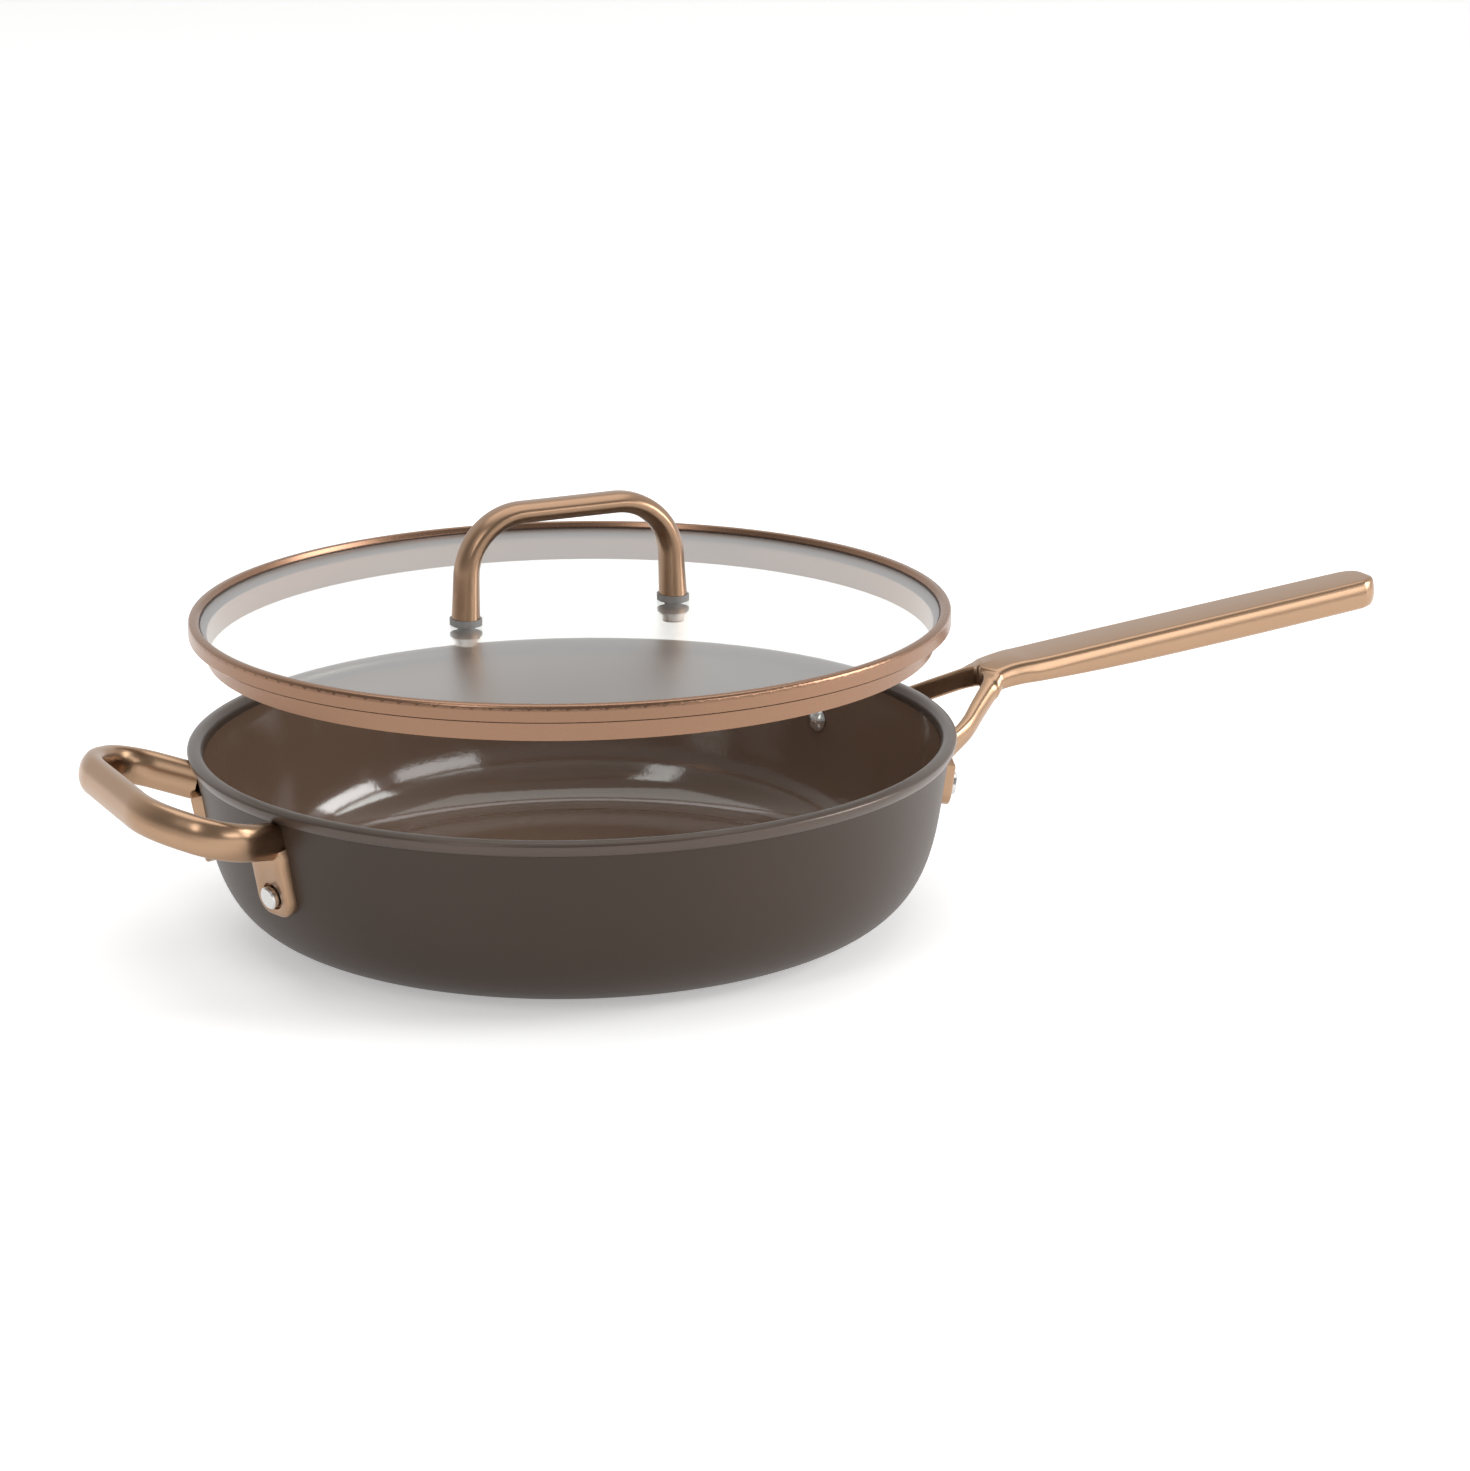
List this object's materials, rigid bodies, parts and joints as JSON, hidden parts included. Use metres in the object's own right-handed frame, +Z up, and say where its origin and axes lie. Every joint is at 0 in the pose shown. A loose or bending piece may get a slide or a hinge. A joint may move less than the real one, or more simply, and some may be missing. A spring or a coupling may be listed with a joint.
{
  "type": "saucepan with glass lid",
  "caption": "Wide round pan with a forked long handle, a riveted helper handle and a lift-off flat glass lid in a metal rim, for frying and simmering.",
  "frame": {"origin": "centre of the flat underside of the base", "axes": "+Z up, +X along the long handle from the pan's centre, +Y to the left of the long handle; the helper handle is at -X"},
  "size_m": [0.5196, 0.28, 0.1559],
  "materials": {
    "dark_coated_aluminium": "satin dark coating outside, glossy non-stick coating inside",
    "base_steel": "spun steel plate",
    "copper_toned_steel": "satin copper-toned metal",
    "rivet_metal": "plain satin metal",
    "clear_glass": "clear tempered glass",
    "lid_rim_metal": "rolled copper-toned sheet metal",
    "dark_seal": "dark brown silicone",
    "lid_handle_metal": "satin copper-toned metal",
    "grey_silicone": "matte grey silicone",
    "screw_steel": "plain steel"
  },
  "bodies": {
    "pan": {"pan_body": "dark_coated_aluminium", "base_disc": "base_steel", "long_handle": "copper_toned_steel", "helper_handle": "copper_toned_steel", "long_handle_rivet_front": "rivet_metal", "long_handle_rivet_back": "rivet_metal", "helper_handle_rivet_front": "rivet_metal", "helper_handle_rivet_back": "rivet_metal"},
    "lid": {"lid_glass": "clear_glass", "lid_rim": "lid_rim_metal", "lid_rim_gasket": "dark_seal", "lid_handle": "lid_handle_metal", "lid_upper_seal_left": "grey_silicone", "lid_lower_seal_left": "grey_silicone", "lid_washer_left": "screw_steel", "lid_screw_left": "screw_steel", "lid_upper_seal_right": "grey_silicone", "lid_lower_seal_right": "grey_silicone", "lid_washer_right": "screw_steel", "lid_screw_right": "screw_steel"}
  },
  "joints": [
    {"name": "lid_lift", "type": "slide", "parent": "pan", "child": "lid", "axis": [0, 0, 1], "range_m": [-0.0407, 0.06]}
  ]
}
